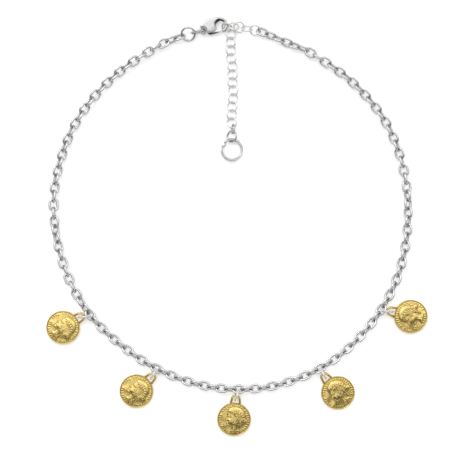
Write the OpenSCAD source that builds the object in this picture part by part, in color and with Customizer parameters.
// Coin necklace lying on a table, seen from above: a cable chain with five coin
// charms, a trigger clasp and an extender of round links that ends in a split ring.
// X runs to the wearer's left, Y from the front coin to the clasp, Z up from the table.

/* [Main chain] */
// Thickness of the wire of an oval link
chain_wire = 0.9; // [0.85:0.05:0.95]
// Width of an oval link over its wires
link_w = 3.7; // [3.6:0.1:3.8]
// Length of the hole in an oval link
link_hole = 3.05; // [3.03:0.01:3.05]

/* [Coins] */
// Diameter of a coin
coin_d = 12.1; // [11:0.1:12.4]
// Thickness of a coin at its rim
coin_t = 1.2; // [1:0.1:1.4]
// Width of the raised rim
rim_w = 0.55; // [0.4:0.05:0.8]
// How deep the field lies below the rim
field_depth = 0.2; // [0.1:0.05:0.3]
// Width of the hole in the eye that is cast on the coin
eye_hole = 1.95; // [1.85:0.05:2]
// Thickness of that eye
eye_wire = 0.8; // [0.7:0.05:0.85]

/* [Jump rings] */
// Outer diameter of the ring that carries a coin
ring_d = 4.6; // [4.5:0.1:4.6]
// Thickness of its wire
ring_wire = 0.8; // [0.7:0.05:0.8]
// Outer diameter of the ring at the end of the chain
last_ring_d = 5.6; // [5.5:0.1:5.6]
// Outer diameter of the ring in the clasp's eye
clasp_ring_d = 5; // [4.9:0.1:5.1]
// Thickness of its wire
clasp_ring_wire = 0.7; // [0.6:0.05:0.7]

/* [Extender] */
// Outer diameter of a round link
round_d = 4.3; // [4.25:0.05:4.35]
// Thickness of its wire
round_wire = 0.64; // [0.6:0.02:0.66]
// Distance between neighbouring round links
round_pitch = 2.9; // [2.88:0.01:2.91]
// Outer diameter of the small ring below the last round link
connector_d = 3.8; // [3.7:0.1:3.9]
// Thickness of its wire
connector_wire = 0.6; // [0.5:0.05:0.6]
// Outer diameter of the ring that holds the split ring
holder_d = 4.56; // [4.5:0.02:4.6]
// Thickness of its wire
holder_wire = 0.66; // [0.6:0.02:0.66]
// Outer diameter of one turn of the split ring
split_d = 8.1; // [8:0.1:8.3]
// Thickness of one turn of the split ring
split_wire = 0.7; // [0.6:0.05:0.7]

/* [Clasp] */
// Thickness of the clasp's body
clasp_t = 2.9; // [2.8:0.1:3]
// Thickness of the round hook
hook_wire = 1.28; // [1.2:0.02:1.3]
// Thickness of the lever
lever_t = 1; // [0.8:0.1:1.1]
// Diameter of the hinge pin
pin_d = 0.8; // [0.7:0.05:0.85]

/* [Hidden] */
$fn = 48;
GOLD = "goldenrod";
SILVER = "silver";

// Where the middle of the chain lies, from the extender round the front to the clasp: [x, y]
SPOTS = [
    [9.5, 70], [19.5, 65.8], [27, 62.5], [42.5, 51.5], [54.8, 36.1], [61, 17], [61.5, -3],
    [56.5, -22], [45.5, -38.5], [30, -51], [11, -57.7], [-8.5, -57.7], [-26.5, -52],
    [-41, -42.8], [-53, -31], [-61, -16.5], [-65, -1], [-65.2, 14.5], [-60.8, 31],
    [-53, 44.5], [-42.2, 55.6], [-30.5, 63.6], [-23.8, 67], [-16.8, 69.4],
];
// How the chain twists as it lies: [link, roll of the even links]. The odd ones stand 90 degrees on.
TWIST = [
    [0, -20], [1, -35], [2, -55], [4, -46], [5, -15], [6, 0], [9, 29], [22, 29], [25, 0],
    [28, -40], [31, -61], [81, -61], [82, -48], [83, -28], [84, -8], [85, 0], [88, 20],
    [90, 29], [92, 52], [93, 74], [94, 90], [97, 119], [114, 119], [118, 94], [119, 80],
    [120, 62], [121, 40],
];
// The lengths of chain: [name, first link, last link, where the first link sits along the
// route, distance between its links, which press into each other by a hair]
LENGTHS = [
    ["chain_right_1", 0, 10, 0.1, 3.14], ["chain_right_2", 11, 20, 34.5, 3.1],
    ["chain_right_3", 21, 30, 65.43, 3.08], ["chain_right_4", 31, 40, 96.17, 3.07],
    ["chain_front_1", 41, 50, 126.8, 3.08], ["chain_front_2", 51, 60, 157.5, 3.07],
    ["chain_front_3", 61, 70, 188.1, 3.08], ["chain_front_4", 71, 81, 218.8, 3.08],
    ["chain_left_1", 82, 91, 252.45, 3.08], ["chain_left_2", 92, 102, 283, 3.07],
    ["chain_left_3", 103, 112, 316.5, 3.13], ["chain_left_4", 113, 121, 347.58, 3.1],
];
// The coins from left to right: [link, heading of the ring, heading of the coin]
COINS = [
    [81, 188, 207], [71, 240, 220], [61, 251, 267], [51, 299, 305], [41, 352, 348],
];
// Round links from the chain to the one in the hook: [x, y, z, heading, roll]
UPPER = [
    [6.85, 70.7, 1.79, -15, 32], [3.97, 71.25, 1.75, -9, -51], [1.17, 71.89, 1.46, -8, 15],
    [-0.77, 72.08, 1.88, -18, -42], [-3.22, 71.68, 1.6, -28, 44],
];
// Round links that hang on from there: [shift to the side, roll]
HANGING = [
    [0, -24], [0, 28], [0, -24], [0.1, 24], [0.4, -26], [0.15, 24], [-0.1, -24],
    [0.3, 28], [-0.1, -24], [-0.3, 24], [-0.15, -24], [0.05, 25],
];
first_hanging = [-1.83, 69.32];

// The oval links
link_bend = (link_w - chain_wire) / 2;
link_straight = link_hole + chain_wire - 2 * link_bend;

// Where a ring lies: [x, y, z, heading, roll]. The one at the end of the chain leans on the
// ring in the clasp's eye, and two small ones join the last round link to the split ring.
last_ring_place = [-17.2, 69.3, 1.82, -5, 23];
connector_place = [-1.05, 35.14, 1.88, -92, 77];
holder_place = [-1.52, 32.48, 1.45, -91, 35];
split_place = [-1.45, 27.91, 1.11, -89, -12];

// The coins and their rings
coin_r = coin_d / 2;
ring_r = (ring_d - ring_wire) / 2;
eye_r = (eye_hole + eye_wire) / 2;
eye_to_coin = coin_r + 1.35;
eye_flare = 10;
eye_leg = 3;
hang_out = 0.4;
eye_z = 1.28;
coin_dip = asin((eye_z - coin_t / 2) / (eye_to_coin + coin_r));

// The clasp, in its own frame: u from its tail to its nose, v away from its lever
clasp_at = [-7.35, 72.05];
clasp_turn = 9;
clasp_z = clasp_t / 2;
hook_at = [1.75, 0.25];
hook_r = 2.2;
hook_start = -84;
hook_sweep = 216;
tail_at = [-4.65, -0.9];
tail_r = 0.95;
tail_wire = 0.6;
tail_clear_r = 1.45;
tail_plate_t = 0.8;
pin_at = [-1, -0.95];
pin_gap = 0.05;
slot_gap = 0.15;
slot_from = [-3.5, -4.5];
slot_to = [2, -0.3];
gate_reach = 2.75;
tip_gap = 0.12;
BODY_OUTLINE = [
    [-5.6, 0.9], [-4.4, 2.2], [-2.6, 3.05], [-0.4, 3.25], [1.6, 3.1], [1.7, 1.6],
    [0.5, 0.3], [0.3, -0.6], [-0.3, -1.4], [-1.5, -1.9], [-3.1, -1.65], [-4.1, -1],
];
LEVER_OUTLINE = [
    [2.5, -1.5], [1.2, -1.5], [0.1, -0.95], [-1, -0.4], [-1.8, -0.85], [-2.7, -1.45],
    [-3.25, -1.75], [-3.2, -2.1], [-2.5, -2.55], [-1, -2.5], [0.6, -2.3], [2.5, -2.35],
];

// The round links, the rings below them and the split ring
round_r = (round_d - round_wire) / 2;
lean = 24;
split_r = (split_d - split_wire) / 2;
split_rise = 0.62;

// A smooth curve through spots: the point at part t of the span after spot k
function span(spots, k, t, closed) =
    let (
        n = len(spots),
        a = closed ? spots[(k + n - 1) % n] : k > 0 ? spots[k - 1] : 2 * spots[0] - spots[1],
        b = spots[k],
        c = spots[(k + 1) % n],
        d = closed ? spots[(k + 2) % n] : k + 2 < n ? spots[k + 2] : 2 * c - b
    )
    (2 * b + (c - a) * t + (2 * a - 5 * b + 4 * c - d) * t * t
        + (3 * b - a - 3 * c + d) * t * t * t) / 2;
function curve(spots, steps, closed) = [
    for (k = [0 : len(spots) - (closed ? 1 : 2)], j = [0 : steps - 1])
        span(spots, k, j / steps, closed),
];

// The chain's route as a table of lengths and places
route = concat(curve(SPOTS, 16, false), [SPOTS[len(SPOTS) - 1]]);
function step_to(i) = i < len(route) ? norm(route[i] - route[i - 1]) : 0;
route_s = [for (i = 0, s = 0; i < len(route); i = i + 1, s = s + step_to(i)) s];
route_x = [for (i = [0 : len(route) - 1]) [route_s[i], route[i][0]]];
route_y = [for (i = [0 : len(route) - 1]) [route_s[i], route[i][1]]];
function place(s) = [lookup(s, route_x), lookup(s, route_y)];
function heading(v) = atan2(v[1], v[0]);
function ray(angle) = [cos(angle), sin(angle)];

// Where link i lies: its length along the route, its roll and its height
function row_of(i) = [for (row = LENGTHS) if (row[1] <= i && i <= row[2]) row][0];
function link_s(i) = row_of(i)[3] + (i - row_of(i)[1]) * row_of(i)[4];
function link_heading(i) = heading(place(link_s(i) + 1) - place(link_s(i) - 1));
function link_roll(i) = lookup(i, TWIST) + (i % 2 == 0 ? 0 : 90);
function link_z(i) =
    chain_wire / 2 + link_bend * max(abs(sin(link_roll(i))), abs(cos(link_roll(i))));

// Where the hanging round links lie, one below the other
function hanging_at(k) =
    k == 0 ? first_hanging
        : let (side = HANGING[k][0])
            hanging_at(k - 1) + [side, -sqrt(round_pitch * round_pitch - side * side)];
function round_z(roll) = round_wire / 2 + round_r * max(sin(abs(roll)), sin(lean));

// A point of the clasp in the necklace's frame
function from_clasp(p) =
    clasp_at + [
        p[0] * cos(clasp_turn) - p[1] * sin(clasp_turn),
        p[0] * sin(clasp_turn) + p[1] * cos(clasp_turn),
    ];

module ring(middle_r, wire) {
    rotate_extrude() translate([middle_r, 0]) circle(d = wire);
}

module half_bend() {
    rotate([0, 0, -90]) rotate_extrude(angle = 180) translate([link_bend, 0]) circle(d = chain_wire);
}

module oval_link() {
    for (side = [0, 180]) rotate([0, 0, side]) {
        translate([link_straight / 2, 0, 0]) half_bend();
        translate([-link_straight / 2, link_bend, 0]) rotate([0, 90, 0])
            cylinder(d = chain_wire, h = link_straight);
    }
}

module chain_length(row) {
    color(SILVER) for (i = [row[1] : row[2]])
        translate(concat(place(link_s(i)), link_z(i)))
            rotate([0, 0, link_heading(i)]) rotate([link_roll(i), 0, 0]) oval_link();
}

// A jump ring stands on its edge, through the hole of what it holds. One that carries a coin
// hangs from the outer side of its link.
function ring_reach(z, outer_d, wire) =
    sqrt(pow((outer_d - wire) / 2, 2) - pow(outer_d / 2 - z, 2));
function ring_at(row) =
    let (
        i = row[0],
        out = hang_out * cos(link_roll(i)),
        z = link_z(i) + hang_out * sin(link_roll(i))
    )
    place(link_s(i)) + ray(link_heading(i) + 90) * out
        + ray(row[1]) * ring_reach(z, ring_d, ring_wire);
function eye_at(row) = ring_at(row) + ray(row[1]) * ring_reach(eye_z, ring_d, ring_wire);

module standing_ring(at, turn, outer_d, wire) {
    color(SILVER) translate(concat(at, outer_d / 2)) rotate([0, 0, turn]) rotate([90, 0, 0])
        ring((outer_d - wire) / 2, wire);
}

module jump_ring(row) {
    standing_ring(ring_at(row), row[1], ring_d, ring_wire);
}

module coin_blank() {
    difference() {
        cylinder(d = coin_d, h = coin_t, center = true);
        for (side = [-1, 1]) translate([0, 0, side * coin_t / 2])
            cylinder(d = coin_d - 2 * rim_w, h = 2 * field_depth, center = true);
    }
}

// The eye is a bow on two legs that spread towards the coin
module coin_eye() {
    rotate([0, 0, 90 + eye_flare]) rotate_extrude(angle = 180 - 2 * eye_flare)
        translate([eye_r, 0]) circle(d = eye_wire);
    for (side = [-1, 1]) rotate([0, 0, side * (90 + eye_flare)]) translate([eye_r, 0, 0])
        rotate([side * 90, 0, 0]) cylinder(d = eye_wire, h = eye_leg);
}

// The coin leans on its far edge, with its eye held up by the jump ring
module coin(row) {
    color(GOLD) translate(concat(eye_at(row), eye_z)) rotate([0, coin_dip, row[2]]) {
        translate([eye_to_coin, 0, 0]) coin_blank();
        difference() {
            coin_eye();
            translate([eye_to_coin, 0, 0])
                cylinder(r = coin_r - rim_w / 2, h = 2 * coin_t, center = true);
        }
    }
}

module in_place(at) {
    translate([at[0], at[1], at[2]]) rotate([0, 0, at[3]]) rotate([at[4], 0, 0]) children();
}

module placed_ring(at, outer_d, wire) {
    color(SILVER) in_place(at) ring((outer_d - wire) / 2, wire);
}

module last_ring() {
    placed_ring(last_ring_place, last_ring_d, ring_wire);
}

module upper_link(k) {
    placed_ring(UPPER[k], round_d, round_wire);
}

module hanging_link(k) {
    last = len(HANGING) - 1;
    above = k > 0 ? hanging_at(k - 1) : [UPPER[4][0], UPPER[4][1]];
    below = k < last ? hanging_at(k + 1) : hanging_at(k) - [0, 1];
    roll = HANGING[k][1];
    at = concat(hanging_at(k), [round_z(roll), heading(below - above), roll]);
    placed_ring(at, round_d, round_wire);
}

// Two small rings join the last round link to the split ring
module connector_ring() {
    placed_ring(connector_place, connector_d, connector_wire);
}

module holder_ring() {
    placed_ring(holder_place, holder_d, holder_wire);
}

// Two turns of wire lie on each other
module split_ring() {
    color(SILVER) in_place(split_place) {
        ring(split_r, split_wire);
        translate([0, 0, split_rise]) ring(split_r, split_wire);
    }
}

module in_clasp() {
    translate(concat(clasp_at, clasp_z)) rotate([0, 0, clasp_turn]) children();
}

module post(at, r) {
    translate([at[0], at[1], 0]) cylinder(r = r, h = 2 * clasp_t, center = true);
}

// The cheeks are thick, and step down to a thin plate round the tail's eye
module clasp_sides() {
    linear_extrude(tail_plate_t, center = true) polygon(curve(BODY_OUTLINE, 4, true));
    difference() {
        linear_extrude(clasp_t, center = true) polygon(curve(BODY_OUTLINE, 4, true));
        post(tail_at, tail_clear_r);
    }
}

// The body is one casting: cheeks with a slot for the lever, the hook and the tail's eye
module clasp_body() {
    slot_t = lever_t + 2 * slot_gap;
    color(SILVER) in_clasp() {
        difference() {
            clasp_sides();
            post(hook_at, hook_r - hook_wire / 2);
            post(tail_at, tail_r);
            post(pin_at, pin_d / 2 + pin_gap);
            translate(concat(slot_from, -slot_t / 2)) cube(concat(slot_to - slot_from, slot_t));
        }
        difference() {
            translate(concat(hook_at, 0)) rotate([0, 0, hook_start])
                rotate_extrude(angle = hook_sweep) translate([hook_r, 0]) circle(d = hook_wire);
            post(pin_at, gate_reach + tip_gap);
        }
        translate(concat(tail_at, 0)) ring(tail_r, tail_wire);
    }
}

// The gate's tip is an arc about the pin, so that it clears the hook as it opens
module clasp_lever() {
    color(SILVER) in_clasp() difference() {
        intersection() {
            linear_extrude(lever_t, center = true) polygon(curve(LEVER_OUTLINE, 4, true));
            post(pin_at, gate_reach);
        }
        post(pin_at, pin_d / 2 + pin_gap);
    }
}

module clasp_pin() {
    color(SILVER) in_clasp() translate(concat(pin_at, 0))
        cylinder(d = pin_d, h = clasp_t - 2 * pin_gap, center = true);
}

// The ring in the tail's eye also holds the ring at the end of the chain
module clasp_ring() {
    tail = from_clasp(tail_at);
    turn = heading(tail - [last_ring_place[0], last_ring_place[1]]);
    reach = ring_reach(clasp_z, clasp_ring_d, clasp_ring_wire);
    standing_ring(tail - ray(turn) * reach, turn, clasp_ring_d, clasp_ring_wire);
}

for (row = LENGTHS) chain_length(row);
for (k = [1 : len(COINS)]) coin(COINS[k - 1]);
for (k = [1 : len(COINS)]) jump_ring(COINS[k - 1]);
clasp_body();
clasp_lever();
clasp_pin();
clasp_ring();
last_ring();
for (k = [1 : len(UPPER)]) upper_link(k - 1);
for (k = [1 : len(HANGING)]) hanging_link(k - 1);
connector_ring();
holder_ring();
split_ring();
